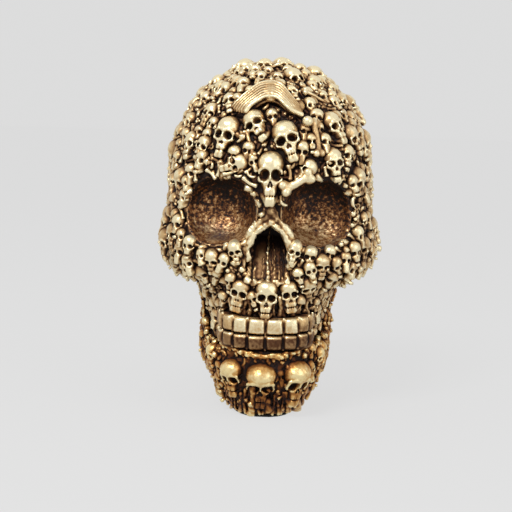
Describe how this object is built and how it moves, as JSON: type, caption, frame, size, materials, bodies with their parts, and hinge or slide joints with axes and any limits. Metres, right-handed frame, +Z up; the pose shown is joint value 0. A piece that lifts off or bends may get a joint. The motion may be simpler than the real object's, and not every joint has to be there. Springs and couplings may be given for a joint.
{
  "type": "skull decoration",
  "caption": "Desk-size human skull cast in resin and finished in antique gold, its surface crowded with small skulls, bones and a rib cage; hollow inside, plugged and felted underneath.",
  "frame": {"origin": "underside of the felt, below the neck, on the middle plane", "axes": "+Z up through the crown, the face looks along -Y, +X to the viewer's right"},
  "size_m": [0.107, 0.1268, 0.1708],
  "materials": {
    "cast_gold": "antique gold paint over cast resin, black-brown wash in the hollows",
    "relief_gold": "antique gold with pale rubbed highlights",
    "tooth_gold": "brushed antique gold, dark between the teeth",
    "plug_resin": "bare dark resin",
    "felt": "black felt"
  },
  "bodies": {
    "root": {"skull_casting": "cast_gold", "jaw": "cast_gold", "upper_teeth": "tooth_gold", "lower_teeth": "tooth_gold", "brow_center_skull": "relief_gold", "forehead_left_skull": "relief_gold", "forehead_middle_skull": "relief_gold", "forehead_right_skull": "relief_gold", "temple_right_inner_skull": "relief_gold", "brow_right_upper_skull": "relief_gold", "brow_right_inner_skull": "relief_gold", "brow_right_outer_skull": "relief_gold", "brow_left_inner_skull": "relief_gold", "brow_left_outer_skull": "relief_gold", "temple_left_inner_skull": "relief_gold", "cheek_left_middle_skull": "relief_gold", "cheek_left_inner_skull": "relief_gold", "cheek_right_inner_skull": "relief_gold", "cheek_right_middle_skull": "relief_gold", "lip_left_outer_skull": "relief_gold", "lip_left_skull": "relief_gold", "lip_middle_skull": "relief_gold", "lip_right_skull": "relief_gold", "lip_right_outer_skull": "relief_gold", "chin_left_skull": "relief_gold", "chin_middle_skull": "relief_gold", "chin_right_skull": "relief_gold", "jaw_left_skull": "relief_gold", "jaw_right_skull": "relief_gold", "temple_right_outer_skull": "relief_gold", "temple_left_lower_skull": "relief_gold", "temple_left_outer_skull": "relief_gold", "crown_right_inner_skull": "relief_gold", "crown_right_outer_skull": "relief_gold", "crown_left_inner_skull": "relief_gold", "crown_left_outer_skull": "relief_gold", "crown_left_small_skull": "relief_gold", "crown_top_skull": "relief_gold", "limb_right_upper_skull": "relief_gold", "limb_right_lower_skull": "relief_gold", "limb_left_skull": "relief_gold", "cheek_left_upper_skull": "relief_gold", "cheek_left_outer_skull": "relief_gold", "cheek_left_side_skull": "relief_gold", "cheek_right_upper_skull": "relief_gold", "cheek_right_outer_skull": "relief_gold", "cheek_right_side_skull": "relief_gold", "rib_cage": "relief_gold", "forehead_right_bone": "relief_gold", "brow_right_bone": "relief_gold", "forehead_left_bone": "relief_gold", "crown_right_bone": "relief_gold", "base_plug": "plug_resin", "base_felt": "felt"}
  },
  "joints": []
}
